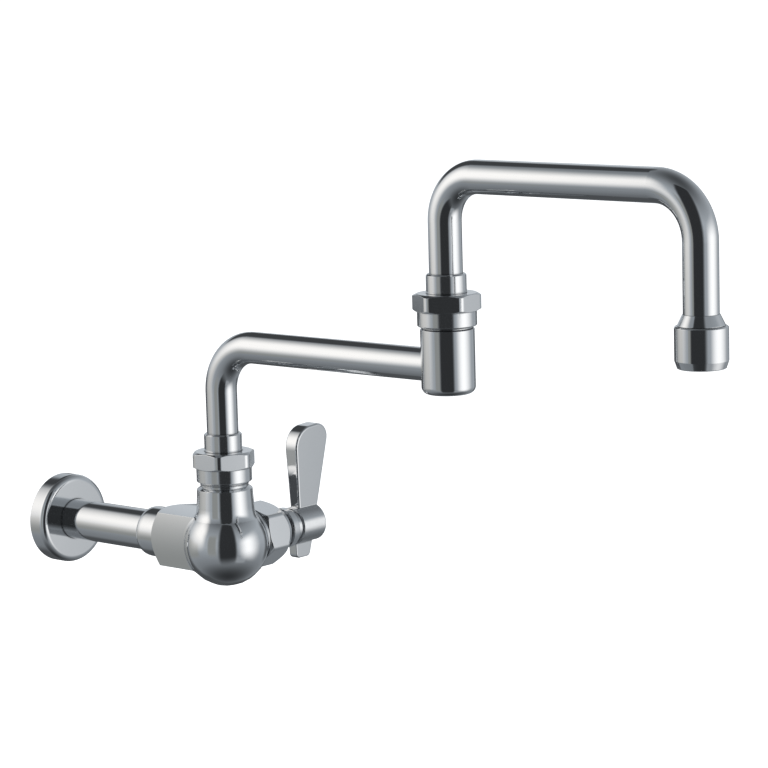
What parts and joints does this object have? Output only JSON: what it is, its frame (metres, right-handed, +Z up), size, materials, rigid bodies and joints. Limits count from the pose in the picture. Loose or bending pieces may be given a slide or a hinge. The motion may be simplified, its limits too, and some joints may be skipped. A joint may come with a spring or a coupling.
{
  "type": "pot filler",
  "caption": "Wall-mounted pot filler: round flange, ball valve body with side lever, and a double-jointed swing spout.",
  "frame": {"origin": "centre of the inlet pipe's mouth, in the plane of the wall", "axes": "+Y into the wall along the inlet, +Z up, +X toward the lever; the spout reaches out along -Y"},
  "size_m": [0.1161, 0.515, 0.2653],
  "materials": {
    "polished_chrome": "polished",
    "bare_brass": "machined",
    "seal_rubber": "matte",
    "ceramic": "polished",
    "white_nylon": "satin",
    "stainless_steel": "brushed"
  },
  "bodies": {
    "valve": {"wall_flange": "polished_chrome", "flange_grip_ring": "seal_rubber", "inlet_pipe": "polished_chrome", "inlet_collar": "polished_chrome", "valve_body": "polished_chrome", "cartridge_bonnet": "polished_chrome", "cartridge_body": "bare_brass", "cartridge_seat_seal": "seal_rubber", "fixed_disc": "ceramic", "lower_swing_nut": "polished_chrome", "lower_thrust_washer": "white_nylon"},
    "lever": {"lever_handle": "polished_chrome", "handle_screw": "stainless_steel", "index_cap": "polished_chrome", "cartridge_stem": "bare_brass", "stem_o_ring": "seal_rubber", "turning_disc": "ceramic"},
    "lower_spout": {"lower_swivel_sleeve": "polished_chrome", "lower_o_rings": "seal_rubber", "lower_split_ring": "bare_brass", "lower_arm": "polished_chrome", "elbow_housing": "polished_chrome", "upper_swing_nut": "polished_chrome", "upper_thrust_washer": "white_nylon"},
    "upper_spout": {"upper_swivel_sleeve": "polished_chrome", "upper_o_rings": "seal_rubber", "upper_split_ring": "bare_brass", "upper_arm": "polished_chrome", "outlet_adapter": "polished_chrome", "aerator_housing": "polished_chrome", "aerator_washer": "seal_rubber", "aerator_core": "white_nylon", "aerator_screen": "stainless_steel"}
  },
  "joints": [
    {"name": "lower_swing", "type": "hinge", "parent": "valve", "child": "lower_spout", "pos_m": [0, -0.1454, 0.05], "axis": [0, 0, 1], "range_deg": [-90, 90]},
    {"name": "upper_swing", "type": "hinge", "parent": "lower_spout", "child": "upper_spout", "pos_m": [0, -0.3232, 0.15], "axis": [0, 0, 1], "continuous": true},
    {"name": "lever_turn", "type": "hinge", "parent": "valve", "child": "lever", "pos_m": [0.03, -0.1454, 0], "axis": [1, 0, 0], "range_deg": [0, 90]}
  ]
}
